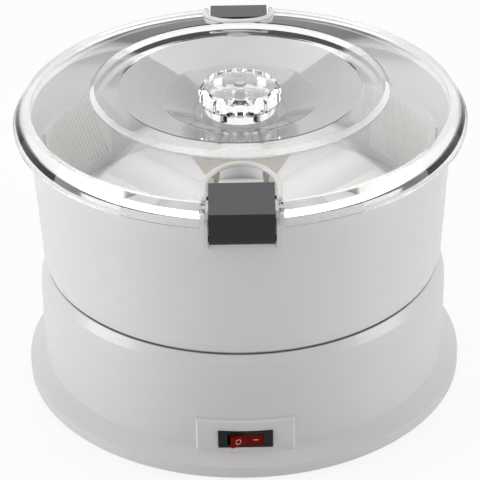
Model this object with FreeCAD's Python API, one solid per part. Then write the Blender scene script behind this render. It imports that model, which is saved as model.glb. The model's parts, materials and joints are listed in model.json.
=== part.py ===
import FreeCAD, Part
import math
import os

# Electric potato peeler. Millimetres, +Z up, the front with the switch faces -Y.
# The origin is on the table, on the axis of the peeling disc.

V = FreeCAD.Vector
UP = V(0, 0, 1)
FRONT = -90.0                    # bearing of the front, in degrees from +X
REAR = 90.0

# Fits and running clearances
press_gap = 0.02                 # pressed or bonded joints
run_gap = 0.05                   # shaft in its bush, trunnion in its ear
seat_gap = 0.1                   # a part that rests on another
loose_gap = 0.5                  # moulded parts that slide past each other
backlash = 0.24                  # play between gear teeth

# Base housing
foot_height = 3.5
flange_reach = 9.8               # flange beyond the drum
flange_edge = 6.9                # height of the upright edge of the flange
flange_rise = 6.6                # the sloped top of the flange
drum_margin = 2.9                # drum beyond the foot of the bowl's wall
drum_height = 43.0
shoulder_height = 17.6
shoulder_inset = 4.6
shoulder_steps = 3               # straight stretches that follow the shoulder's curve
shoulder_bulge = 1.3
wall = 2.6
well_depth = 2.8
collar_radius = 16.0
collar_height = 13.0
collar_key_count = 3
collar_key_width = 6.0
collar_key_proud = 1.6

# Switch and its raised panel
panel_half_angle = 13.2
panel_proud = 2.0
panel_height = 20.0
panel_softening = 1.2
switch_width = 31.0
switch_height = 10.6
switch_drop = 12.1               # centre of the switch below the top of its panel
bezel_thickness = 1.8
bezel_sink = 1.2                 # bezel's seat below the middle of the panel
bezel_rim_x = 5.2                # bezel left beside the rocker's opening
bezel_rim_z = 1.6                # bezel left above and below the opening
switch_body_rim = 1.6            # bezel beyond the body behind it
switch_body_depth = 15.0
rocker_cavity_depth = 11.0
rocker_gap = 0.3
rocker_angle = 11.0              # tilt each way from square
rocker_pivot_depth = 3.0         # pivot behind the bezel's face
rocker_dish_depth = 0.2          # middle of the rocker in front of the bezel
rocker_back = 4.0
rocker_pin_radius = 1.1
tab_width = 4.8
tab_thickness = 0.8
tab_length = 8.0
tab_pitch = 9.0

# Base plate, feet and fasteners
plate_thickness = 2.5
plate_gap = 0.4
foot_span = 30.0
foot_width = 11.0
foot_inset = 1.2
foot_bearings = {"front_right": -45.0, "rear_right": 45.0, "rear_left": 135.0, "front_left": -135.0}
post_bearings = (-30.0, 90.0, 210.0)
post_inset = 19.5                # centre of a post from the drum's outside
post_width = 8.0
screw_radius = 1.6
screw_head_radius = 3.2
screw_head_height = 1.8
screw_grip = 12.0
vent_count = 7
vent_width = 3.0
vent_length = 30.0
vent_pitch = 8.0

# Cable gland at the back
gland_height = 26.0              # centre above the table
gland_bore = 3.4                 # radius of the hole for the mains lead
gland_body = 5.6
gland_flange = 8.0
gland_lip = 2.2

# Gear train: rotor pinion and output gear
pressure_angle = 20.0
gear_module = 1.5
pinion_teeth = 14
gear_teeth = 56
gear_face = 8.0
tooth_root = 1.3                 # depth of a tooth below the pitch circle, in modules
pinion_overlap = 1.0             # pinion wider than the gear at each end
gear_float = 0.8                 # air between the gear and the case

# Gear case
case_wall = 2.2
case_floor = 2.6
case_margin = 3.0                # air round the gear tips
case_sides = 12                  # straight walls that go round each end
case_boss_radius = 9.0
case_screw_bearings = (-60.0, 0.0, 180.0)   # each at the middle of a straight wall
case_boss_width = 8.0
case_ear_drop = 7.0              # ears below the underside of the well
case_ear_thickness = 3.0

# Output drive
shaft_radius = 4.0
bush_radius = 6.4
bush_length = 7.0
bearing_radius = 11.0
bearing_width = 7.0
dog_flats = 13.0                 # across the flats of the drive hexagon
dog_height = 12.0
dog_flange_radius = 8.0
dog_flange_thickness = 2.0
dog_gap = 0.3                    # socket round the hexagon

# Motor
motor_shaft_radius = 3.0
rotor_radius = 15.0
air_gap = 0.4
core_width = 56.0
core_height = 18.0
core_chamfer = 7.0
coil_width = 48.0
coil_bore = 34.0
coil_height = 5.0
bracket_length = 74.0
bracket_width = 16.0
bracket_thickness = 3.0
bracket_leg = 3.0
bolt_inset = 3.5                 # bolt from the end of the bracket
fan_radius = 21.0
fan_height = 4.0
fan_hub_radius = 8.0
fan_blades = 6
fan_blade_angle = 12.0           # half the angle that a blade covers at the hub
motor_floor_gap = 1.4            # fan above the base plate

# Bowl
bowl_wall = 2.4
bowl_corner = 10.0
bowl_corner_steps = 3            # straight stretches that follow the rounded corner
bowl_base_radius = 119.6
bowl_top_radius = 123.8
bowl_height = 96.0
rim_reach = 4.2                  # rim beyond the top of the wall
rim_thickness = 2.4
hub_gap = 0.8                    # bowl hub round the collar
hub_wall = 2.4
hub_bore = 9.4

# Panels bonded inside the bowl
panel_bearings = {"left": 155.0, "right": 25.0}
rasp_span = 36.0
rasp_lift = 17.0                 # lower edge above the bowl's floor
rasp_height = 52.0
rasp_thickness = 1.2

# Peeling disc
disc_gap = 7.6                   # disc's edge from the foot of the bowl's wall
disc_thickness = 3.0
disc_lift = 6.0                  # underside of the disc above the bowl's floor
wave_count = 4
wave_radius = 26.0
wave_height = 6.0
wave_inner = 26.0
wave_end_gap = 6.0
cap_wall = 2.4
cap_gap = 1.2                    # disc hub round the bowl hub
cap_draft = 2.0                  # the cap is this much narrower at its top
cap_roof = 3.0                   # closed top above the drive hexagon
core_radius = 10.6
pad_thickness = 0.8
pad_inner = 46.0
pad_end_gap = 6.0
pad_half_angle = 22.0

# Lid
lid_wall = 2.2
skirt_gap = 1.8                  # skirt's inside from the bowl's rim
skirt_drop = 4.5                 # skirt's lower edge below the bowl's rim
skirt_upright = 3.4
crown_inset = 5.8                # crown inside the skirt
crown_rise = 8.0                 # above the bowl's rim, as the rises below
land_drop = 3.2                  # inner edge of the lid's seat below the crown
dome_radius = 87.0
dome_rise = 15.0
ring_radius = 84.2
ring_rise = 17.5
ring_inner_radius = 71.1
ring_inner_rise = 15.8
dish_radius = 45.8
dish_rise = 9.0
dish_floor_radius = 27.0
dish_floor_rise = 0.4

# Clip pockets in the lid
pocket_gap = 1.7                 # pocket's side wall from the clip
pocket_finger_room = 14.0        # rounded end of the pocket from the clip's inner end
pocket_floor_rise = 5.6
shelf_inset = 21.2               # outer edge of the pocket's floor from the clip's face
keeper_half_width = 12.5
keeper_thickness = 1.0
notch_gap = 2.3                  # wider notch in the skirt, round the ears
notch_rise = 3.4

# Knob
knob_radius = 23.8
knob_tier_radius = 20.6          # the plain tier below the flutes
knob_height = 15.8
knob_tier = 6.0
knob_flutes = 24
flute_depth = 1.6
flute_crest = 0.3                # half of the crest between flutes, as a share of their pitch
knob_bevel = 2.6
stem_radius = 6.0
retainer_width = 18.0
retainer_thickness = 1.4

# Clips and their ears on the bowl
clip_half_width = 17.8
clip_reach = 6.2                 # outer face of the clip beyond the bowl's rim
clip_leg = 3.5
clip_crest_rise = 6.4            # outer top edge above the bowl's rim
clip_length = 27.2               # from the outer face to the inner end
clip_hook_length = 4.0
clip_hook_rise = 10.6            # top of the inner end above the bowl's rim
clip_plate = 2.6
clip_pivot_drop = 10.0           # pivot below the bowl's rim
clip_knuckle_radius = 3.3
clip_seat_gap = 0.3
trunnion_radius = 1.7
ear_thickness = 2.0
ear_gap = 0.5
ear_reach = 2.9                  # ear beyond the pivot
ear_top_drop = 0.6
ear_gusset = 9.0

# Widths worked out from the sizes above
drum_radius = bowl_base_radius + drum_margin
flange_radius = drum_radius + flange_reach
post_ring = drum_radius - post_inset
disc_radius = bowl_base_radius - disc_gap
rim_radius = bowl_top_radius + rim_reach
skirt_radius = rim_radius + skirt_gap + lid_wall
crown_radius = skirt_radius - crown_inset
clip_face_radius = rim_radius + clip_reach
clip_hook_radius = clip_face_radius - clip_length
shelf_radius = clip_face_radius - shelf_inset
pocket_inner_radius = clip_hook_radius - pocket_finger_room
pocket_half_width = clip_half_width + pocket_gap
notch_half_width = clip_half_width + ear_gap + ear_thickness + notch_gap

# Levels and places worked out from the sizes above
flange_top_z = foot_height + flange_edge
drum_foot_z = flange_top_z + flange_rise
drum_top_z = drum_foot_z + drum_height
shoulder_z = drum_top_z + shoulder_height
shoulder_radius = drum_radius - shoulder_inset
well_z = shoulder_z - well_depth
well_under_z = well_z - wall
collar_z = well_z + collar_height
bearing_z = collar_z - bearing_width
plate_z = foot_height + plate_thickness
panel_radius = drum_radius + panel_proud
panel_top_z = drum_foot_z + panel_height
switch_z = panel_top_z - switch_drop
bezel_seat_y = -(panel_radius - bezel_sink)
bezel_face_y = bezel_seat_y - bezel_thickness

bowl_z = well_z + seat_gap
bowl_floor_z = bowl_z + bowl_wall
bowl_corner_z = bowl_z + bowl_corner
bowl_corner_r = bowl_base_radius - bowl_corner
rim_z = bowl_z + bowl_height

pinion_pitch = gear_module * pinion_teeth / 2
gear_pitch = gear_module * gear_teeth / 2
motor_at = V(0, pinion_pitch + gear_pitch, 0)
gear_top_z = well_under_z - gear_float - pinion_overlap
gear_z = gear_top_z - gear_face
case_floor_z = gear_z - pinion_overlap - gear_float
case_under_z = case_floor_z - case_floor
case_screw_r = (gear_pitch + gear_module + case_margin + case_wall + seat_gap
                + case_boss_width / 2)
dog_z = collar_z + loose_gap
dog_hex_z = dog_z + dog_flange_thickness
dog_top_z = dog_hex_z + dog_height

upper_coil_z = case_under_z - bracket_thickness - gear_float - coil_height
core_z = upper_coil_z - core_height
lower_coil_z = core_z - coil_height
lower_bracket_z = lower_coil_z - gear_float - bracket_thickness
fan_z = plate_z + motor_floor_gap

disc_z = bowl_floor_z + disc_lift
disc_top_z = disc_z + disc_thickness
hub_radius = collar_radius + hub_gap + hub_wall
hub_top_z = dog_hex_z - loose_gap
cap_inner = hub_radius + cap_gap

lid_z = rim_z + seat_gap
pocket_floor_z = lid_z + pocket_floor_rise
pin_z = rim_z - clip_pivot_drop
pin_r = clip_face_radius - clip_knuckle_radius


def polar(radius, bearing, z=0.0):
    a = math.radians(bearing)
    return V(radius * math.cos(a), radius * math.sin(a), z)


def outline(points):
    """Closed wire in the plane XZ. A point is (x, z), or (x, z, via_x, via_z) for an arc to it."""
    edges = []
    start = V(points[-1][0], 0, points[-1][1])
    for point in points:
        end = V(point[0], 0, point[1])
        if len(point) == 4:
            edges.append(Part.Arc(start, V(point[2], 0, point[3]), end).toShape())
        else:
            edges.append(Part.LineSegment(start, end).toShape())
        start = end
    return Part.Wire(edges)


def turned(points, angle=360.0, bearing=0.0):
    """Solid of revolution about the Z axis, over an angle centred on a bearing."""
    solid = Part.Face(outline(points)).revolve(V(0, 0, 0), UP, angle)
    if angle < 360.0:
        solid.rotate(V(0, 0, 0), UP, bearing - angle / 2)
    return solid


def ring(outer, inner, low, high, angle=360.0, bearing=0.0):
    return turned([(outer, low), (outer, high), (inner, high), (inner, low)], angle, bearing)


def pillar(radius, low, high, at=V(0, 0, 0)):
    return Part.makeCylinder(radius, high - low, V(at.x, at.y, low), UP)


def bar(radius, start, end):
    """Round bar between two points."""
    step = end - start
    return Part.makeCylinder(radius, step.Length, start, step)


def block(x0, x1, y0, y1, z0, z1):
    return Part.makeBox(x1 - x0, y1 - y0, z1 - z0, V(x0, y0, z0))


def prism(corners, low, high):
    """Upright prism on corners (x, y)."""
    ends = [V(x, y, low) for x, y in corners]
    return Part.Face(Part.makePolygon(ends + ends[:1])).extrude(V(0, 0, high - low))


def polygon_prism(sides, flats, low, high, at=V(0, 0, 0)):
    """Regular upright prism with the given size across its flats."""
    return prism(ring_of_corners(flats / 2, at, sides), low, high)


def swept_across(points, half_width):
    """Profile in the plane XZ, extruded both ways along Y."""
    face = Part.Face(outline(points))
    face.translate(V(0, -half_width, 0))
    return face.extrude(V(0, 2 * half_width, 0))


def at_bearing(shape, bearing):
    moved = shape.copy()
    moved.rotate(V(0, 0, 0), UP, bearing)
    return moved


def arc_points(centre_r, centre_z, radius, start, end, steps):
    """Points along an arc of a profile, both ends included."""
    points = []
    for i in range(steps + 1):
        a = math.radians(start + (end - start) * i / steps)
        points.append((centre_r + radius * math.cos(a), centre_z + radius * math.sin(a)))
    return points


def bulged_line(start, end, bulge, steps):
    """Points of a shallow curve from start to end that stands out by bulge at its middle."""
    (r0, z0), (r1, z1) = start, end
    length = math.hypot(r1 - r0, z1 - z0)
    out_r, out_z = (z1 - z0) / length, (r0 - r1) / length
    points = []
    for i in range(steps + 1):
        t = i / steps
        lift = 4 * bulge * t * (1 - t)
        points.append((r0 + (r1 - r0) * t + out_r * lift, z0 + (z1 - z0) * t + out_z * lift))
    return points


def save(node, shape):
    shape.removeSplitter().exportStep("parts/" + node + ".step")


def screw(low, high, at, head_flats=2 * screw_head_radius):
    """Hexagon-head screw driven upwards: head below low, shank up to high."""
    head = polygon_prism(6, head_flats, low - screw_head_height, low, at)
    return head.fuse(polygon_prism(8, 2 * screw_radius - 2 * press_gap, low, high, at))


def screw_hole(low, high, at):
    return polygon_prism(8, 2 * screw_radius, low, high, at)


def post_places():
    return [polar(post_ring, bearing) for bearing in post_bearings]


def involute(angle):
    return math.tan(angle) - angle


def gear(teeth, low, high, at, phase):
    """Spur gear. Its straight flanks join points of the involute; phase is one tooth's bearing."""
    pitch_r = gear_module * teeth / 2
    base_r = pitch_r * math.cos(math.radians(pressure_angle))
    tip_r = pitch_r + gear_module
    root_r = pitch_r - tooth_root * gear_module
    at_pitch = (math.pi * gear_module / 2 - backlash) / (2 * pitch_r)

    def half_tooth(radius):
        roll = math.acos(base_r / radius)
        return at_pitch + involute(math.radians(pressure_angle)) - involute(roll)

    at_root = half_tooth(max(root_r, base_r))
    at_tip = half_tooth(tip_r)
    corners = []
    for i in range(teeth):
        middle = math.radians(phase) + 2 * math.pi * i / teeth
        for r, side in ((root_r, -at_root), (tip_r, -at_tip), (tip_r, at_tip), (root_r, at_root)):
            corners.append((at.x + r * math.cos(middle + side), at.y + r * math.sin(middle + side)))
    return prism(corners, low, high)


def hull(points):
    """Convex hull of points, anticlockwise."""
    points = sorted(points)

    def half(sequence):
        chain = []
        for p in sequence:
            while len(chain) > 1:
                (ax, ay), (bx, by) = chain[-2], chain[-1]
                if (bx - ax) * (p[1] - ay) - (by - ay) * (p[0] - ax) > 1e-9:
                    break
                chain.pop()
            chain.append(p)
        return chain[:-1]

    return half(points) + half(points[::-1])


def ring_of_corners(radius, at, sides):
    corner = radius / math.cos(math.pi / sides)
    corners = []
    for i in range(sides):
        a = 2 * math.pi * (i + 0.5) / sides
        corners.append((at.x + corner * math.cos(a), at.y + corner * math.sin(a)))
    return corners


def case_shape(margin, low, high):
    """Straight-walled prism round the output gear and the rotor pinion."""
    corners = ring_of_corners(gear_pitch + gear_module + margin, V(0, 0, 0), case_sides)
    corners += ring_of_corners(pinion_pitch + gear_module + margin, motor_at, case_sides)
    return prism(hull(corners), low, high)


def case_screw_places():
    return [polar(case_screw_r, bearing) for bearing in case_screw_bearings]


def base_housing():
    flange_inner = flange_radius - wall
    drum_inner = drum_radius - wall
    seat_radius = bowl_corner + loose_gap
    seat_angle = math.degrees(math.asin((shoulder_z - bowl_corner_z) / seat_radius))
    seat_r = bowl_corner_r + seat_radius * math.cos(math.radians(seat_angle))
    seat_bend = arc_points(bowl_corner_r, bowl_corner_z, seat_radius, -90, 0, bowl_corner_steps)[1]
    shoulder = bulged_line((drum_radius, drum_top_z), (shoulder_radius, shoulder_z),
                           shoulder_bulge, shoulder_steps)
    shell = turned([
        (flange_inner, foot_height),
        (flange_radius, foot_height),
        (flange_radius, flange_top_z),
        (drum_radius, drum_foot_z),
    ] + shoulder + [
        (seat_r, shoulder_z),
        seat_bend,
        (bowl_corner_r, well_z),
        (collar_radius, well_z),
        (collar_radius, collar_z),
        (bearing_radius + press_gap, collar_z),
        (bearing_radius + press_gap, bearing_z),
        (shaft_radius + 2 * loose_gap, bearing_z),
        (shaft_radius + 2 * loose_gap, well_under_z),
        (bowl_corner_r, well_under_z),
        (drum_inner, drum_top_z),
        (drum_inner, drum_foot_z - wall / 2),
        (flange_inner, flange_top_z - wall / 2),
    ])
    panel = ring(panel_radius, drum_inner, flange_top_z, panel_top_z, 2 * panel_half_angle, FRONT)
    shell = shell.fuse(panel.makeChamfer(panel_softening, panel_edges(panel)))
    key_reach = collar_radius + collar_key_proud
    for i in range(collar_key_count):
        key = block(collar_radius - wall, key_reach, -collar_key_width / 2, collar_key_width / 2,
                    well_z - wall / 2, bearing_z)
        shell = shell.fuse(at_bearing(key, FRONT + i * 360.0 / collar_key_count))
    half = post_width / 2
    for place in post_places():
        post = block(place.x - half, place.x + half, place.y - half, place.y + half,
                     plate_z, well_z - wall / 2)
        shell = shell.fuse(post).cut(screw_hole(plate_z, plate_z + screw_grip + screw_radius, place))
    half = case_boss_width / 2
    ear_z = well_under_z - case_ear_drop
    for bearing, place in zip(case_screw_bearings, case_screw_places()):
        boss = block(case_screw_r - half, case_screw_r + half, -half, half,
                     ear_z, well_z - wall / 2)
        shell = shell.fuse(at_bearing(boss, bearing))
        shell = shell.cut(screw_hole(ear_z, well_under_z, place))
    half_x = switch_width / 2 + loose_gap / 2
    half_z = switch_height / 2 + loose_gap / 2
    shell = shell.cut(block(-half_x, half_x, -flange_radius, bezel_seat_y,
                            switch_z - half_z, switch_z + half_z))
    shell = shell.cut(switch_body_block(loose_gap / 2, -flange_radius))
    shell = shell.cut(bar(gland_body + press_gap, V(0, drum_inner - wall, gland_height),
                          V(0, drum_radius + wall, gland_height)))
    save("base_housing", shell)


def panel_edges(panel):
    """Top edge and upright edges of the outer face of the switch panel."""
    found = []
    for edge in panel.Edges:
        reach = min(math.hypot(v.X, v.Y) for v in edge.Vertexes)
        box = edge.BoundBox
        upright = box.ZLength > panel_softening
        topmost = box.ZMin > panel_top_z - press_gap
        if reach > panel_radius - press_gap and (upright or topmost):
            found.append(edge)
    return found


def switch_body_block(gap, front_y):
    """The switch body behind its bezel, grown by a gap."""
    half_x = switch_width / 2 - switch_body_rim + gap
    half_z = switch_height / 2 - switch_body_rim / 2 + gap
    return block(-half_x, half_x, front_y, bezel_seat_y + switch_body_depth,
                 switch_z - half_z, switch_z + half_z)


def switch_body():
    half_x, half_z = switch_width / 2, switch_height / 2
    bezel = block(-half_x, half_x, bezel_face_y, bezel_seat_y, switch_z - half_z, switch_z + half_z)
    body = bezel.fuse(switch_body_block(0.0, bezel_seat_y - bezel_thickness / 2))
    cavity_x = half_x - bezel_rim_x
    cavity_z = half_z - bezel_rim_z
    cavity = block(-cavity_x, cavity_x, bezel_face_y, bezel_face_y + rocker_cavity_depth,
                   switch_z - cavity_z, switch_z + cavity_z)
    save("switch_body", body.cut(cavity).cut(rocker_pin(run_gap, seat_gap)))


def rocker_pin(gap, extra):
    """Pivot of the rocker through both side walls of the switch body, grown by a gap."""
    half_z = switch_height / 2 - switch_body_rim / 2 - seat_gap + extra
    return pillar(rocker_pin_radius + gap, switch_z - half_z, switch_z + half_z,
                  V(0, bezel_face_y + rocker_pivot_depth, 0))


def switch_rocker():
    """Dished rocker, tilted with its right half pressed in."""
    lean = math.radians(rocker_angle)
    opening = switch_width / 2 - bezel_rim_x - rocker_gap
    reach = (opening - (rocker_pivot_depth + rocker_dish_depth) * math.sin(lean)) * math.cos(lean)
    half_z = switch_height / 2 - bezel_rim_z - rocker_gap
    front = bezel_face_y - rocker_dish_depth
    tip = front - reach * math.tan(lean)
    pivot_y = bezel_face_y + rocker_pivot_depth
    rocker = prism([
        (-reach, tip),
        (0, front),
        (reach, tip),
        (reach, pivot_y - rocker_pivot_depth / 3),
        (reach / 2, pivot_y + rocker_back),
        (-reach / 2, pivot_y + rocker_back),
        (-reach, pivot_y - rocker_pivot_depth / 3),
    ], switch_z - half_z, switch_z + half_z)
    rocker.rotate(V(0, pivot_y, 0), UP, rocker_angle)
    save("switch_rocker", rocker.fuse(rocker_pin(0.0, 0.0)))


def switch_tabs():
    back = bezel_seat_y + switch_body_depth
    tabs = []
    for side in (-1, 1):
        x = side * tab_pitch / 2
        tabs.append(block(x - tab_thickness / 2, x + tab_thickness / 2, back, back + tab_length,
                          switch_z - tab_width / 2, switch_z + tab_width / 2))
    save("switch_tabs", Part.makeCompound(tabs))


def base_plate():
    plate = pillar(flange_radius - wall - plate_gap, foot_height, plate_z)
    half = vent_length / 2
    for i in range(vent_count):
        x = (i - (vent_count - 1) / 2) * vent_pitch
        plate = plate.cut(block(x - vent_width / 2, x + vent_width / 2,
                                motor_at.y - half, motor_at.y + half, foot_height, plate_z))
    for place in post_places():
        plate = plate.cut(screw_hole(foot_height, plate_z, place))
    save("base_plate", plate)


def feet():
    outer = flange_radius - wall - plate_gap - foot_inset
    for name, bearing in foot_bearings.items():
        save("foot_" + name, ring(outer, outer - foot_width, 0, foot_height, foot_span, bearing))


def plate_screws():
    screws = [screw(foot_height, plate_z + screw_grip, place) for place in post_places()]
    save("base_plate_screws", Part.makeCompound(screws))


def cable_gland():
    inside = drum_radius - wall - gland_lip
    outside = drum_radius + seat_gap
    gland = turned([
        (gland_bore, inside),
        (gland_body, inside),
        (gland_body, outside),
        (gland_flange, outside),
        (gland_flange, outside + gland_lip),
        (gland_bore, outside + gland_lip),
    ])
    gland.rotate(V(0, 0, 0), V(1, 0, 0), -90)
    gland.translate(V(0, 0, gland_height))
    save("cable_gland", gland)


def gear_case():
    case = case_shape(case_margin + case_wall, case_under_z, well_under_z)
    case = case.cut(case_shape(case_margin, case_floor_z, well_under_z))
    boss_low = case_under_z - bush_length + case_floor
    case = case.fuse(pillar(case_boss_radius, boss_low, case_under_z))
    case = case.cut(pillar(bush_radius + press_gap, boss_low, case_floor_z))
    case = case.fuse(block(-bracket_length / 2, bracket_length / 2,
                           motor_at.y - bracket_width / 2, motor_at.y + bracket_width / 2,
                           case_under_z, case_floor_z))
    case = case.cut(pillar(motor_shaft_radius + 2 * loose_gap, case_under_z, case_floor_z, motor_at))
    ear_top = well_under_z - case_ear_drop
    half = case_boss_width / 2
    for bearing, place in zip(case_screw_bearings, case_screw_places()):
        ear = block(case_screw_r - half - case_wall, case_screw_r + half, -half, half,
                    ear_top - case_ear_thickness, ear_top)
        case = case.fuse(at_bearing(ear, bearing))
        case = case.cut(screw_hole(ear_top - case_ear_thickness, ear_top, place))
    for side in (-1, 1):
        place = motor_at + V(side * (bracket_length / 2 - bolt_inset), 0, 0)
        case = case.cut(screw_hole(case_under_z, case_floor_z, place))
    save("gear_case", case)


def case_screws():
    ear_top = well_under_z - case_ear_drop
    screws = [screw(ear_top - case_ear_thickness, ear_top + case_ear_drop - screw_radius, place)
              for place in case_screw_places()]
    save("gear_case_screws", Part.makeCompound(screws))


def drive():
    low = case_floor_z - bush_length
    save("lower_bush", ring(bush_radius, shaft_radius + run_gap, low, case_floor_z))
    save("upper_bearing", ring(bearing_radius, shaft_radius + run_gap, bearing_z, collar_z))
    save("output_shaft", pillar(shaft_radius, low, dog_top_z - cap_roof))
    wheel = gear(gear_teeth, gear_z, gear_top_z, V(0, 0, 0), REAR)
    save("output_gear", wheel.cut(pillar(shaft_radius + press_gap, gear_z, gear_top_z)))
    dog = pillar(dog_flange_radius, dog_z, dog_hex_z)
    dog = dog.fuse(polygon_prism(6, dog_flats, dog_hex_z, dog_top_z))
    save("drive_hexagon", dog.cut(pillar(shaft_radius + press_gap, dog_z, dog_top_z - cap_roof)))


def motor():
    x, y = motor_at.x, motor_at.y
    pinion_low = case_floor_z + gear_float
    pinion_high = well_under_z - gear_float
    pinion = gear(pinion_teeth, pinion_low, pinion_high, motor_at, FRONT + 180.0 / pinion_teeth)
    bore = pillar(motor_shaft_radius + press_gap, pinion_low, pinion_high, motor_at)
    save("motor_pinion", pinion.cut(bore))

    shaft = pillar(motor_shaft_radius, fan_z, pinion_high, motor_at)
    rotor = pillar(rotor_radius, core_z, core_z + core_height, motor_at)
    save("motor_rotor", shaft.fuse(rotor))

    half, cut = core_width / 2, core_width / 2 - core_chamfer
    corners = [(half, cut), (cut, half), (-cut, half), (-half, cut),
               (-half, -cut), (-cut, -half), (cut, -half), (half, -cut)]
    core = prism([(x + a, y + b) for a, b in corners], core_z, core_z + core_height)
    core = core.cut(pillar(rotor_radius + air_gap, core_z, core_z + core_height, motor_at))
    save("stator_core", core)

    for name, low in (("upper", upper_coil_z), ("lower", lower_coil_z)):
        coil = polygon_prism(8, coil_width, low, low + coil_height, motor_at)
        coil = coil.cut(polygon_prism(8, coil_bore, low, low + coil_height, motor_at))
        save("winding_" + name, coil)

    save("motor_bracket_upper", bracket(case_under_z - bracket_thickness, upper_coil_z))
    save("motor_bracket_lower", bracket(lower_bracket_z, lower_bracket_z + bracket_thickness
                                        + gear_float + coil_height))

    bolts = []
    for side in (-1, 1):
        place = motor_at + V(side * (bracket_length / 2 - bolt_inset), 0, 0)
        bolts.append(screw(lower_bracket_z, case_floor_z, place))
    save("motor_bolts", Part.makeCompound(bolts))
    save("cooling_fan", fan())


def bracket(bar_z, core_face_z):
    """Bar across the motor with a bore for the shaft, slotted ends and two legs to the core."""
    x, y = motor_at.x, motor_at.y
    half, half_y = bracket_length / 2, bracket_width / 2
    shape = block(x - half, x + half, y - half_y, y + half_y, bar_z, bar_z + bracket_thickness)
    leg_low, leg_high = sorted((core_face_z, bar_z + bracket_thickness / 2))
    for side in (-1, 1):
        outer = x + side * core_width / 2
        inner = outer - side * bracket_leg
        shape = shape.fuse(block(min(outer, inner), max(outer, inner), y - half_y, y + half_y,
                                 leg_low, leg_high))
        end = x + side * half
        slot = end - side * (bolt_inset + screw_radius)
        shape = shape.cut(block(min(end, slot), max(end, slot), y - screw_radius, y + screw_radius,
                                bar_z, bar_z + bracket_thickness))
    return shape.cut(pillar(motor_shaft_radius + run_gap, bar_z, bar_z + bracket_thickness, motor_at))


def fan():
    corners = []
    for i in range(fan_blades):
        middle = 2 * math.pi * i / fan_blades
        spread = math.radians(fan_blade_angle)
        sweep = spread / 2
        for radius, side in ((fan_hub_radius, -spread), (fan_radius, -sweep),
                             (fan_radius, sweep), (fan_hub_radius, spread)):
            a = middle + side
            corners.append((motor_at.x + radius * math.cos(a), motor_at.y + radius * math.sin(a)))
    blades = prism(corners, fan_z, fan_z + fan_height)
    return blades.cut(pillar(motor_shaft_radius + press_gap, fan_z, fan_z + fan_height, motor_at))


def bowl_wall_radius(z):
    """Outer radius of the bowl's wall at a height."""
    share = (z - bowl_corner_z) / (rim_z - bowl_corner_z)
    return bowl_base_radius + (bowl_top_radius - bowl_base_radius) * share


def bowl():
    rim_under = rim_z - rim_thickness
    inner_hub = collar_radius + hub_gap
    lip_under = collar_z + loose_gap
    shape = turned([
        (inner_hub, bowl_z),
    ] + arc_points(bowl_corner_r, bowl_corner_z, bowl_corner, -90, 0, bowl_corner_steps) + [
        (bowl_wall_radius(rim_under), rim_under),
        (rim_radius, rim_under),
        (rim_radius, rim_z),
        (bowl_wall_radius(rim_z) - bowl_wall, rim_z),
        (bowl_base_radius - bowl_wall, bowl_corner_z),
        (bowl_corner_r, bowl_floor_z),
        (hub_radius, bowl_floor_z),
        (hub_radius, hub_top_z),
        (hub_bore, hub_top_z),
        (hub_bore, lip_under),
        (inner_hub, lip_under),
    ])
    for i in range(collar_key_count):
        groove = block(collar_radius - wall, collar_radius + collar_key_proud + loose_gap,
                       -collar_key_width / 2 - loose_gap, collar_key_width / 2 + loose_gap,
                       bowl_z, bearing_z + loose_gap)
        shape = shape.cut(at_bearing(groove, FRONT + i * 360.0 / collar_key_count))
    for bearing in (FRONT, REAR):
        for side in (-1, 1):
            shape = shape.fuse(ear(bearing, side))
    save("bowl", shape)


def ear(bearing, side):
    """Side plate that carries one trunnion of a clip."""
    top = rim_z - ear_top_drop
    edge = pin_r + ear_reach
    foot = pin_z - ear_reach
    root = foot - ear_gusset
    corner = ear_reach * math.sqrt(0.5)
    plate = swept_across([
        (bowl_wall_radius(top) - bowl_wall / 2, top),
        (edge, top),
        (edge, pin_z),
        (pin_r, foot, pin_r + corner, pin_z - corner),
        (bowl_wall_radius(root) - bowl_wall / 2, root),
    ], ear_thickness / 2)
    plate.translate(V(0, side * (clip_half_width + ear_gap + ear_thickness / 2), 0))
    reach = clip_half_width + ear_gap + ear_thickness
    hole = bar(trunnion_radius + run_gap, V(pin_r, -reach, pin_z), V(pin_r, reach, pin_z))
    return at_bearing(plate.cut(hole), bearing)


def clips():
    crest = rim_z + clip_crest_rise
    hook_top = rim_z + clip_hook_rise
    hook_low = pocket_floor_z + keeper_thickness + clip_seat_gap
    fall = (hook_top - crest) / (clip_face_radius - clip_hook_radius)
    hook_end = clip_hook_radius + clip_hook_length
    leg_r = clip_face_radius - clip_leg

    def under(r):
        return hook_top - fall * (r - clip_hook_radius) - clip_plate

    low_r = math.sqrt(clip_knuckle_radius ** 2 - (pin_r - leg_r) ** 2)
    body = swept_across([
        (clip_face_radius, crest),
        (clip_hook_radius, hook_top),
        (clip_hook_radius, hook_low),
        (hook_end, hook_low),
        (hook_end, under(hook_end)),
        (leg_r, under(leg_r)),
        (leg_r, pin_z + low_r),
        (pin_r, pin_z - clip_knuckle_radius, pin_r - clip_knuckle_radius, pin_z),
        (clip_face_radius, pin_z, pin_r + clip_knuckle_radius * math.sqrt(0.5),
         pin_z - clip_knuckle_radius * math.sqrt(0.5)),
    ], clip_half_width)
    reach = clip_half_width + ear_gap + ear_thickness
    body = body.fuse(bar(trunnion_radius, V(pin_r, -reach, pin_z), V(pin_r, reach, pin_z)))
    save("clip_front", at_bearing(body, FRONT))
    save("clip_rear", at_bearing(body, REAR))


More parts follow.
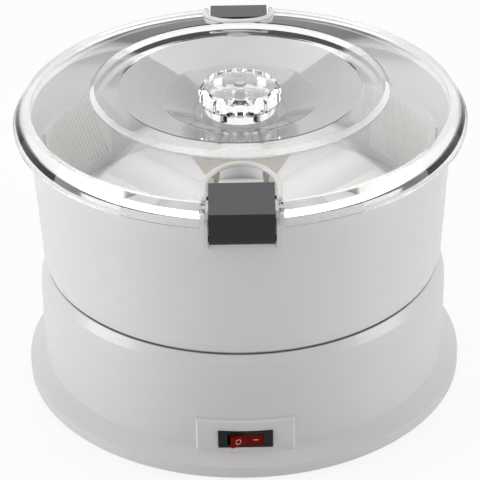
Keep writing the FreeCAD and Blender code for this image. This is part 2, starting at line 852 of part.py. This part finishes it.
def rasp_panels():
    """Curved panels bonded to the inside of the bowl's wall."""
    low = bowl_floor_z + rasp_lift
    high = low + rasp_height
    back_low = bowl_wall_radius(low) - bowl_wall - press_gap
    back_high = bowl_wall_radius(high) - bowl_wall - press_gap
    for name, bearing in panel_bearings.items():
        panel = turned([
            (back_low, low),
            (back_high, high),
            (back_high - rasp_thickness, high),
            (back_low - rasp_thickness, low),
        ], rasp_span, bearing)
        save("rasp_panel_" + name, panel)


def peeling_disc():
    cap_outer = cap_inner + cap_wall
    cap_top_z = dog_top_z + cap_roof
    roof_under = dog_hex_z + seat_gap
    disc = turned([
        (cap_inner, disc_z),
        (disc_radius, disc_z),
        (disc_radius, disc_top_z),
        (cap_outer, disc_top_z),
        (cap_outer - cap_draft, cap_top_z),
        (0, cap_top_z),
        (0, roof_under),
        (core_radius, roof_under),
        (core_radius, roof_under + cap_wall),
        (cap_inner, roof_under + cap_wall),
    ])
    socket = polygon_prism(6, dog_flats + 2 * dog_gap, roof_under, dog_top_z + dog_gap)
    disc = disc.cut(socket)
    sunk = disc_top_z + wave_height - wave_radius
    for i in range(wave_count):
        wave = bar(wave_radius, V(wave_inner, 0, sunk), V(disc_radius - wave_end_gap, 0, sunk))
        wave = wave.common(block(0, disc_radius, -wave_radius, wave_radius,
                                 disc_z + disc_thickness / 2, disc_top_z + wave_height))
        disc = disc.fuse(at_bearing(wave, (i + 0.5) * 360.0 / wave_count))
    save("peeling_disc", disc)


def abrasive_pads():
    low = disc_top_z + press_gap
    pads = []
    for i in range(wave_count):
        pads.append(ring(disc_radius - pad_end_gap, pad_inner, low, low + pad_thickness,
                         2 * pad_half_angle, i * 360.0 / wave_count))
    save("abrasive_pads", Part.makeCompound(pads))


def lid_skin(drop):
    """Profile points of the lid's upper side, lowered by drop, from the crown to the hub."""
    return [
        (crown_radius, lid_z + crown_rise - drop),
        (dome_radius, lid_z + dome_rise - drop),
        (ring_radius, lid_z + ring_rise - drop),
        (ring_inner_radius, lid_z + ring_inner_rise - drop),
        (dish_radius, lid_z + dish_rise - drop),
        (dish_floor_radius, lid_z + dish_floor_rise - drop),
    ]


def pocket_block(grow, low, high):
    """Upright block round a clip pocket, with a rounded inner end, for the front."""
    half = pocket_half_width + grow
    centre = V(0, -(pocket_inner_radius + pocket_half_width), 0)
    body = block(-half, half, -skirt_radius - wall, centre.y, low, high)
    return body.fuse(pillar(half, low, high, centre))


def lid():
    skirt_low = lid_z - skirt_drop
    skirt_inner = skirt_radius - lid_wall
    stem_hole = stem_radius + run_gap
    land_inner = bowl_top_radius - bowl_wall
    upper = [(skirt_radius, skirt_low), (skirt_radius, skirt_low + skirt_upright)] + lid_skin(0)
    under = lid_skin(lid_wall)[1:]
    under.pop(1)
    shell = turned(upper + [
        (stem_hole, lid_z + dish_floor_rise),
        (stem_hole, lid_z + dish_floor_rise - lid_wall),
    ] + under[::-1] + [
        (land_inner, lid_z + crown_rise - land_drop),
        (land_inner, lid_z),
        (skirt_inner, lid_z),
        (skirt_inner, skirt_low),
    ])
    envelope = turned(upper + [(0, lid_z + dish_floor_rise), (0, skirt_low)])
    top = lid_z + ring_rise + wall
    for bearing in (FRONT, REAR):
        turn = bearing - FRONT
        shelf = pocket_block(lid_wall, pocket_floor_z - lid_wall, top).common(envelope)
        shell = shell.fuse(at_bearing(shelf, turn))
        shell = shell.cut(at_bearing(pocket_block(0, pocket_floor_z, top), turn))
        slot = block(-pocket_half_width, pocket_half_width, -skirt_radius - wall, -shelf_radius,
                     skirt_low, top)
        notch = block(-notch_half_width, notch_half_width, -skirt_radius - wall,
                      -(rim_radius - 2 * wall), skirt_low, lid_z + notch_rise)
        shell = shell.cut(at_bearing(slot, turn)).cut(at_bearing(notch, turn))
        keeper = block(-keeper_half_width, keeper_half_width, -shelf_radius,
                       -(pocket_inner_radius + lid_wall), pocket_floor_z, pocket_floor_z + keeper_thickness)
        shell = shell.fuse(at_bearing(keeper, turn))
    save("lid", shell)


def lid_knob():
    low = lid_z + dish_floor_rise + seat_gap
    tier = low + knob_tier
    top = low + knob_height
    corners = []
    for i in range(knob_flutes):
        pitch = 2 * math.pi / knob_flutes
        for share, radius in ((-flute_crest, knob_radius), (flute_crest, knob_radius),
                              (0.5, knob_radius - flute_depth)):
            a = (i + share) * pitch
            corners.append((radius * math.cos(a), radius * math.sin(a)))
    knob = prism(corners, tier, top)
    bevel = turned([(0, tier), (knob_radius, tier), (knob_radius, top - knob_bevel),
                    (knob_radius - knob_bevel, top), (0, top)])
    knob = knob.common(bevel)
    knob = knob.fuse(pillar(knob_tier_radius, low, tier))
    under = lid_z + dish_floor_rise - lid_wall
    stem_low = under - 2 * retainer_thickness
    knob = knob.fuse(pillar(stem_radius, stem_low, low))
    save("lid_knob", knob)
    retainer = polygon_prism(6, retainer_width, under - seat_gap - retainer_thickness, under - seat_gap)
    save("knob_retainer", retainer.cut(pillar(stem_radius + press_gap, stem_low, low)))


def main():
    os.makedirs("parts", exist_ok=True)
    base_housing()
    base_plate()
    feet()
    plate_screws()
    cable_gland()
    switch_body()
    switch_rocker()
    switch_tabs()
    gear_case()
    case_screws()
    drive()
    motor()
    bowl()
    rasp_panels()
    peeling_disc()
    abrasive_pads()
    lid()
    lid_knob()
    clips()


main()
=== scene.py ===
import json
import math
import bmesh
import bpy
from mathutils import Matrix, Vector


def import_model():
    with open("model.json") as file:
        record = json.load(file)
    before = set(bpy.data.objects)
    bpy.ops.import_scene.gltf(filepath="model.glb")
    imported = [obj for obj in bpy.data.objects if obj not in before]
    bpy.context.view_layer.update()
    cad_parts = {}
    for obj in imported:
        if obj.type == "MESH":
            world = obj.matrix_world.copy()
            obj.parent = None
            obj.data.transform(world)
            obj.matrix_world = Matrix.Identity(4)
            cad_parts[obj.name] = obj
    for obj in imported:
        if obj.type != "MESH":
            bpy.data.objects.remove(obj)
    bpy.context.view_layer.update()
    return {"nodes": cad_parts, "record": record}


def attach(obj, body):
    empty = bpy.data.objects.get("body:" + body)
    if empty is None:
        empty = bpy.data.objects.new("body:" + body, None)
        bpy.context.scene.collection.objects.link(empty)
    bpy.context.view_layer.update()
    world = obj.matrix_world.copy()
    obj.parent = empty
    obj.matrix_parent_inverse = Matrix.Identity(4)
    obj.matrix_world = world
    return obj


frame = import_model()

MM = 0.001
FULL_TURN = 2 * math.pi

# Lid and its clip pockets, in millimetres
crown_radius, crown_z = 126.2, 179.0
dome_radius, dome_z = 87.0, 186.0
pocket_half_width = 19.5
pocket_end_radius = 93.0
pocket_floor_z = 176.6
bead_radius = 1.6
bead_straight_radius, bead_end_radius = 120.0, 122.5
bead_steps = 28
keeper_half_width = 12.5
keeper_inner_radius, keeper_outer_radius = 95.2, 113.0
keeper_top_z = 177.6
face_skin = 0.14                 # thickness of the frosted faces
face_margin = 0.4                # from their edges to the keeper's
face_taper = 0.5                 # share of the skin that is gone at a keeper's edges
face_gap = 0.3                   # share of the skin between a face and the pocket's wall
pocket_ends = {"front": -1, "rear": 1}

# Rasp panels on the bowl's wall, in millimetres and degrees
bowl_foot_radius, bowl_foot_z = 119.6, 84.9
bowl_top_radius, bowl_top_z = 123.8, 170.9
bowl_wall = 2.4
panel_thickness = 1.2
panel_low, panel_high = 94.3, 146.3
panel_span = 36.0
panel_bearings = {"left": 155.0, "right": 25.0}
rib_count = 19
rib_slant = 7.0
rib_radius = 0.45
rib_steps = 8
rib_side_margin = 1.5            # degrees from the panel's upright edges
rib_end_margin = 1.5             # millimetres from its other edges

# Marks on the rocker, in millimetres and degrees
rocker_pivot = Vector((0, -122.1, 24.9))
rocker_tilt = 11.0
rocker_face_y = -125.3
mark_offset = 5.0                # from the rocker's middle to the middle of a mark
off_radius, off_line, off_steps = 1.5, 0.22, 24
on_half_length, on_line = 1.4, 0.25

# Pip on the knob, as radius and height over the knob's top, in millimetres
knob_top_z = 187.3
pip_profile = [(3.4, -0.3), (3.4, 0.3), (3.0, 0.6), (1.6, 0.7)]
pip_peak = 0.7                   # height of its middle
pip_steps = 32

# Surfaces
slow_scale, slow_detail = 14.0, 3.0
fine_detail = 2.0
grain_depth = 0.0002
roughness_spread = 0.05
lowest_roughness = 0.02
wave_scale, wave_detail = 40.0, 1.0
wave_strength, wave_depth = 0.05, 0.0003
plastic_ior = 1.45
clear_colour = (0.97, 0.98, 0.98, 1.0)
clear_shadow = (0.93, 0.94, 0.94, 1.0)

# Floor, world and lamps, in metres and watts
floor_size = 8.0
floor_glow = 0.88                # share of the floor's look to the camera that is plain white
world_light = 0.45               # strength of the world as a light
world_seen = 1.0                 # strength where it shows or is mirrored
lamp_target = Vector((0, 0, 0.08))
lamps = {
    "top": {"place": (0.0, 0.75, 1.6), "size": 1.3, "power": 8.0},
    "left": {"place": (-1.6, -0.35, 0.6), "size": 1.2, "power": 17.0},
    "right": {"place": (1.6, -0.35, 0.6), "size": 1.2, "power": 13.0},
}

# Camera, from the photograph's perspective in its frame of 480 pixels
image_size = 480
focal_pixels = 2035.0
sensor_width = 36.0
camera_distance = 1232.0
camera_elevation = 30.6
camera_roll = -0.95
aim_z = 82.5
aim_pixel_x = 242.3


def tree(material):
    material.use_nodes = True
    nodes, links = material.node_tree.nodes, material.node_tree.links
    return nodes, links, nodes["Principled BSDF"]


def noise_of(nodes, links, scale, detail):
    place = nodes.new("ShaderNodeTexCoord")
    noise = nodes.new("ShaderNodeTexNoise")
    noise.inputs["Scale"].default_value = scale
    noise.inputs["Detail"].default_value = detail
    links.new(place.outputs["Object"], noise.inputs["Vector"])
    return noise


def relieve(nodes, links, shader, noise, strength, depth):
    """Let a noise stand out from the surface."""
    relief = nodes.new("ShaderNodeBump")
    relief.inputs["Strength"].default_value = strength
    relief.inputs["Distance"].default_value = depth
    links.new(noise.outputs["Fac"], relief.inputs["Height"])
    links.new(relief.outputs["Normal"], shader.inputs["Normal"])


def mix_in(nodes, links, shader, other, share):
    """Send the shader to the output with a share of another mixed in."""
    mix = nodes.new("ShaderNodeMixShader")
    links.new(share, mix.inputs["Fac"])
    links.new(shader.outputs["BSDF"], mix.inputs[1])
    links.new(other, mix.inputs[2])
    links.new(mix.outputs["Shader"], nodes["Material Output"].inputs["Surface"])


def solid_material(name, colour, roughness, grain, bump, spread=0.04, metallic=0.0, coat=0.0,
                   specular=0.5):
    """Surface with a slow change of colour and roughness and a fine grain in its relief."""
    material = bpy.data.materials.new(name)
    nodes, links, shader = tree(material)
    shader.inputs["Metallic"].default_value = metallic
    shader.inputs["Coat Weight"].default_value = coat
    shader.inputs["Specular IOR Level"].default_value = specular
    slow = noise_of(nodes, links, slow_scale, slow_detail)
    ramp = nodes.new("ShaderNodeValToRGB")
    for stop, share in zip(ramp.color_ramp.elements, (1 - spread, 1 + spread)):
        stop.color = [min(1.0, c * share) for c in colour] + [1.0]
    links.new(slow.outputs["Fac"], ramp.inputs["Fac"])
    links.new(ramp.outputs["Color"], shader.inputs["Base Color"])
    polish = nodes.new("ShaderNodeMapRange")
    polish.inputs["To Min"].default_value = max(lowest_roughness, roughness - roughness_spread)
    polish.inputs["To Max"].default_value = roughness + roughness_spread
    links.new(slow.outputs["Fac"], polish.inputs["Value"])
    links.new(polish.outputs["Result"], shader.inputs["Roughness"])
    relieve(nodes, links, shader, noise_of(nodes, links, grain, fine_detail), bump, grain_depth)
    return material


def clear_material(name, roughness):
    """Clear moulded plastic that lets light through to what is under it."""
    material = bpy.data.materials.new(name)
    nodes, links, shader = tree(material)
    shader.inputs["Base Color"].default_value = clear_colour
    shader.inputs["Transmission Weight"].default_value = 1.0
    shader.inputs["IOR"].default_value = plastic_ior
    shader.inputs["Roughness"].default_value = roughness
    waves = noise_of(nodes, links, wave_scale, wave_detail)
    relieve(nodes, links, shader, waves, wave_strength, wave_depth)
    path = nodes.new("ShaderNodeLightPath")
    through = nodes.new("ShaderNodeBsdfTransparent")
    through.inputs["Color"].default_value = clear_shadow
    mix_in(nodes, links, shader, through.outputs["BSDF"], path.outputs["Is Shadow Ray"])
    return material


def milky_material(name, colour, through):
    """White moulded plastic that lets part of the light through."""
    material = solid_material(name, colour, roughness=0.20, grain=1500, bump=0.05, spread=0.02)
    shader = material.node_tree.nodes["Principled BSDF"]
    shader.inputs["Transmission Weight"].default_value = through
    shader.inputs["IOR"].default_value = plastic_ior
    return material


def floor_material():
    """Pale floor that keeps its shadows and shows nearly white to the camera."""
    material = solid_material("floor", (0.86, 0.86, 0.86), roughness=0.7, grain=300, bump=0.02,
                              spread=0.005)
    nodes, links, shader = tree(material)
    path = nodes.new("ShaderNodeLightPath")
    share = nodes.new("ShaderNodeMath")
    share.operation = "MULTIPLY"
    share.inputs[1].default_value = floor_glow
    links.new(path.outputs["Is Camera Ray"], share.inputs[0])
    glow = nodes.new("ShaderNodeEmission")
    mix_in(nodes, links, shader, glow.outputs["Emission"], share.outputs["Value"])
    return material


MATERIALS = {
    "bead": milky_material("bead", (0.88, 0.87, 0.85), 0.25),
    "housing": solid_material("housing", (0.60, 0.59, 0.585), 0.30, 2600, 0.10, coat=0.2),
    "bowl_plastic": solid_material("bowl_plastic", (0.63, 0.62, 0.62), 0.22, 2600, 0.06, coat=0.4),
    "panel_plastic": solid_material("panel_plastic", (0.66, 0.65, 0.64), 0.34, 2200, 0.15),
    "disc_plastic": solid_material("disc_plastic", (0.62, 0.61, 0.60), 0.40, 1800, 0.20),
    "abrasive": solid_material("abrasive", (0.30, 0.25, 0.19), 0.85, 1300, 1.0, spread=0.35),
    "clear": clear_material("clear", 0.03),
    "frosted": clear_material("frosted", 0.22),
    "keeper": milky_material("keeper", (0.93, 0.93, 0.93), 0.10),
    "clip_plastic": solid_material("clip_plastic", (0.010, 0.011, 0.013), 0.34, 3000, 0.20, specular=0.4),
    "red": solid_material("red", (0.13, 0.002, 0.001), 0.30, 1500, 0.05, specular=0.08),
    "mark": solid_material("mark", (0.60, 0.45, 0.42), 0.45, 1500, 0.05),
    "black": solid_material("black", (0.010, 0.010, 0.011), 0.35, 2600, 0.20, specular=0.25),
    "case_plastic": solid_material("case_plastic", (0.10, 0.10, 0.11), 0.50, 2200, 0.30),
    "gear_plastic": solid_material("gear_plastic", (0.68, 0.65, 0.55), 0.42, 2000, 0.15),
    "brass": solid_material("brass", (0.62, 0.45, 0.18), 0.28, 3000, 0.20, metallic=1.0),
    "copper": solid_material("copper", (0.50, 0.19, 0.08), 0.35, 1600, 0.60, metallic=0.8),
    "bronze": solid_material("bronze", (0.40, 0.26, 0.12), 0.45, 2600, 0.40, metallic=1.0),
    "steel": solid_material("steel", (0.48, 0.48, 0.50), 0.32, 3200, 0.25, metallic=1.0),
    "foot_plastic": solid_material("foot_plastic", (0.46, 0.46, 0.47), 0.55, 2000, 0.30),
}


def dress(node, slot):
    for each in frame["nodes"][node].material_slots:
        each.material = MATERIALS[slot]


def closed_mesh(name, bm):
    """Mesh from a finished shape, with its faces turned outwards."""
    bmesh.ops.recalc_face_normals(bm, faces=bm.faces)
    mesh = bpy.data.meshes.new(name)
    bm.to_mesh(mesh)
    bm.free()
    return mesh


def finished(name, mesh, body, material):
    """Object from a mesh in millimetres, riding on a body."""
    mesh.transform(Matrix.Scale(MM, 4))
    piece = bpy.data.objects.new(name, mesh)
    bpy.context.scene.collection.objects.link(piece)
    mesh.materials.append(MATERIALS[material])
    for face in mesh.polygons:
        face.use_smooth = True
    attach(piece, body)


def bridge(bm, rings):
    """Faces between each ring of corners and the next."""
    for low, high in zip(rings, rings[1:]):
        for k in range(len(low)):
            after = (k + 1) % len(low)
            bm.faces.new((low[k], low[after], high[after], high[k]))


def tube_mesh(name, paths, radius, sides):
    """Round tubes along lists of points, with closed ends."""
    bm = bmesh.new()
    for path in paths:
        points = [Vector(p) for p in path]
        rings = []
        for i, point in enumerate(points):
            along = (points[min(i + 1, len(points) - 1)] - points[max(i - 1, 0)]).normalized()
            across = along.cross(Vector((0, 0, 1)))
            if across.length < 0.01:
                across = along.cross(Vector((1, 0, 0)))
            across.normalize()
            other = along.cross(across)
            ring = []
            for k in range(sides):
                a = FULL_TURN * k / sides
                ring.append(bm.verts.new(point + radius * (math.cos(a) * across + math.sin(a) * other)))
            rings.append(ring)
        bridge(bm, rings)
        bm.faces.new(rings[0][::-1])
        bm.faces.new(rings[-1])
    return closed_mesh(name, bm)


def lid_height(radius):
    """Height of the lid's upper surface between its crown and its dome."""
    return crown_z + (crown_radius - radius) * (dome_z - crown_z) / (crown_radius - dome_radius)


def pocket_bead(end):
    """Raised white bead round the rounded inner end of a clip pocket."""
    half = pocket_half_width + bead_radius / 2
    centre = pocket_end_radius + pocket_half_width
    flat = [(-half, bead_end_radius), (-half, bead_straight_radius)]
    for i in range(bead_steps + 1):
        a = math.pi * i / bead_steps
        flat.append((-half * math.cos(a), centre - half * math.sin(a)))
    flat += [(half, bead_straight_radius), (half, bead_end_radius)]
    path = [(x, pocket_ends[end] * y, lid_height(math.hypot(x, y))) for x, y in flat]
    name = "pocket_bead_" + end
    finished(name, tube_mesh(name, [path], bead_radius, sides=10), "lid", "bead")


def frosted_face(name, point, columns=24, rows=16):
    """Closed thin plate on the lid. point(u, v, side) places it: u and v from 0 to 1, side 0 or 1."""
    bm = bmesh.new()
    grids = []
    for side in (0, 1):
        grid = []
        for j in range(rows + 1):
            grid.append([bm.verts.new(point(i / columns, j / rows, side)) for i in range(columns + 1)])
        grids.append(grid)
    for grid in grids:
        for low, high in zip(grid, grid[1:]):
            for i in range(columns):
                bm.faces.new((low[i], low[i + 1], high[i + 1], high[i]))
    under, over = grids
    border = [(0, i) for i in range(columns)] + [(j, columns) for j in range(rows)]
    border += [(rows, i) for i in range(columns, 0, -1)] + [(j, 0) for j in range(rows, 0, -1)]
    for (j, i), (q, p) in zip(border, border[1:] + border[:1]):
        bm.faces.new((under[j][i], under[q][p], over[q][p], over[j][i]))
    finished(name, closed_mesh(name, bm), "lid", "keeper")


def keeper_face(end):
    """Upper face of the keeper that a clip hooks over, with rounded-off edges."""
    half = keeper_half_width - face_margin
    low = keeper_inner_radius + face_margin
    high = keeper_outer_radius - face_margin

    def point(u, v, side):
        from_middle = max(abs(2 * u - 1), abs(2 * v - 1))
        rise = side * face_skin * (1 - face_taper * from_middle ** 4)
        return (half * (2 * u - 1), pocket_ends[end] * (low + (high - low) * v), keeper_top_z + rise)

    frosted_face("keeper_face_" + end, point)


def pocket_end_face(end):
    """Face on the rounded inner wall of a clip pocket, from its floor to the bead."""
    centre = pocket_end_radius + pocket_half_width
    half = keeper_half_width - face_margin

    def point(u, v, side):
        x = half * (2 * u - 1)
        reach = pocket_half_width - face_skin * (side + face_gap)
        radius = centre - math.sqrt(reach ** 2 - x ** 2)
        low = pocket_floor_z + face_skin
        high = lid_height(math.hypot(x, radius)) - bead_radius / 2
        return (x, pocket_ends[end] * radius, low + (high - low) * v)

    frosted_face("pocket_end_" + end, point)


def panel_inner_radius(z):
    share = (z - bowl_foot_z) / (bowl_top_z - bowl_foot_z)
    return bowl_foot_radius + (bowl_top_radius - bowl_foot_radius) * share - bowl_wall - panel_thickness


def rasp_ribs(side):
    """Slanted ribs that stand on the inner face of a rasp panel."""
    first = panel_bearings[side] - panel_span / 2 + rib_side_margin
    room = panel_span - 2 * rib_side_margin - rib_slant
    height = panel_high - panel_low - 2 * rib_end_margin
    paths = []
    for i in range(rib_count):
        foot = first + room * i / (rib_count - 1)
        path = []
        for k in range(rib_steps + 1):
            z = panel_low + rib_end_margin + height * k / rib_steps
            a = math.radians(foot + rib_slant * k / rib_steps)
            r = panel_inner_radius(z)
            path.append((r * math.cos(a), r * math.sin(a), z))
        paths.append(path)
    mesh = tube_mesh("rasp_ribs", paths, rib_radius, sides=6)
    finished("rasp_ribs_" + side, mesh, "bowl", "panel_plastic")


def rocker_mark(name, path, radius):
    """Raised mark that lies on the tilted face of the rocker."""
    mesh = tube_mesh(name, [path], radius, sides=8)
    turn = Matrix.Translation(rocker_pivot) @ Matrix.Rotation(math.radians(rocker_tilt), 4, "Z")
    mesh.transform(turn @ Matrix.Translation(-rocker_pivot))
    finished(name, mesh, "rocker", "mark")


def rocker_marks():
    def on_face(x, rise):
        y = rocker_face_y - abs(x) * math.tan(math.radians(rocker_tilt))
        return (x, y, rocker_pivot.z + rise)

    circle = []
    for i in range(off_steps + 1):
        a = FULL_TURN * i / off_steps
        circle.append(on_face(off_radius * math.cos(a) - mark_offset, off_radius * math.sin(a)))
    rocker_mark("mark_off", circle, off_line)
    rocker_mark("mark_on", [on_face(mark_offset + k * on_half_length, 0) for k in (-1, 0, 1)], on_line)


def knob_pip():
    """Low disc with a softened edge, on top of the knob."""
    bm = bmesh.new()
    angles = [FULL_TURN * k / pip_steps for k in range(pip_steps)]
    rings = []
    for r, z in pip_profile:
        rings.append([bm.verts.new((r * math.cos(a), r * math.sin(a), knob_top_z + z)) for a in angles])
    bridge(bm, rings)
    bm.faces.new(rings[0][::-1])
    peak = bm.verts.new((0, 0, knob_top_z + pip_peak))
    for k in range(pip_steps):
        bm.faces.new((rings[-1][k], rings[-1][(k + 1) % pip_steps], peak))
    finished("knob_pip", closed_mesh("knob_pip", bm), "knob", "frosted")


def ground():
    bpy.ops.mesh.primitive_plane_add(size=floor_size)
    floor = bpy.context.object
    floor.name = "floor"
    floor.data.materials.append(floor_material())


def either(nodes, links, first, second):
    """One where either of two kinds of ray is meant, else zero."""
    higher = nodes.new("ShaderNodeMath")
    higher.operation = "MAXIMUM"
    links.new(first, higher.inputs[0])
    links.new(second, higher.inputs[1])
    return higher.outputs["Value"]


def world():
    """White surroundings that light the object less than they show."""
    scene = bpy.context.scene
    scene.world = scene.world or bpy.data.worlds.new("world")
    scene.world.use_nodes = True
    nodes, links = scene.world.node_tree.nodes, scene.world.node_tree.links
    rays = nodes.new("ShaderNodeLightPath").outputs
    shown = either(nodes, links, rays["Is Camera Ray"], rays["Is Transmission Ray"])
    strength = nodes.new("ShaderNodeMapRange")
    strength.inputs["To Min"].default_value = world_light
    strength.inputs["To Max"].default_value = world_seen
    links.new(either(nodes, links, shown, rays["Is Glossy Ray"]), strength.inputs["Value"])
    nodes["Background"].inputs["Color"].default_value = (1, 1, 1, 1)
    links.new(strength.outputs["Result"], nodes["Background"].inputs["Strength"])


def lamp(name, place, size, power):
    light = bpy.data.lights.new(name, "AREA")
    light.shape = "DISK"
    light.size = size
    light.energy = power
    holder = bpy.data.objects.new(name, light)
    holder.location = place
    holder.rotation_euler = (lamp_target - Vector(place)).to_track_quat("-Z", "Y").to_euler()
    bpy.context.scene.collection.objects.link(holder)


def camera():
    lens = bpy.data.cameras.new("camera")
    lens.sensor_width = sensor_width
    lens.lens = focal_pixels / image_size * sensor_width
    lens.shift_x = (image_size / 2 - aim_pixel_x) / image_size
    holder = bpy.data.objects.new("camera", lens)
    up = math.radians(camera_elevation)
    aim = Vector((0, 0, aim_z)) * MM
    holder.location = aim + camera_distance * MM * Vector((0, -math.cos(up), math.sin(up)))
    look = (aim - holder.location).to_track_quat("-Z", "Y")
    roll = Matrix.Rotation(math.radians(camera_roll), 3, "Z")
    holder.rotation_euler = (look.to_matrix() @ roll).to_euler()
    bpy.context.scene.collection.objects.link(holder)
    bpy.context.scene.camera = holder


for part in frame["record"]["subparts"]:
    dress(part["node"], part["material_slot"])
for add in (pocket_bead, keeper_face, pocket_end_face):
    for end in pocket_ends:
        add(end)
for side in panel_bearings:
    rasp_ribs(side)
rocker_marks()
knob_pip()
ground()
world()
for name, settings in lamps.items():
    lamp(name, **settings)
camera()
bpy.context.scene.view_settings.view_transform = "Standard"
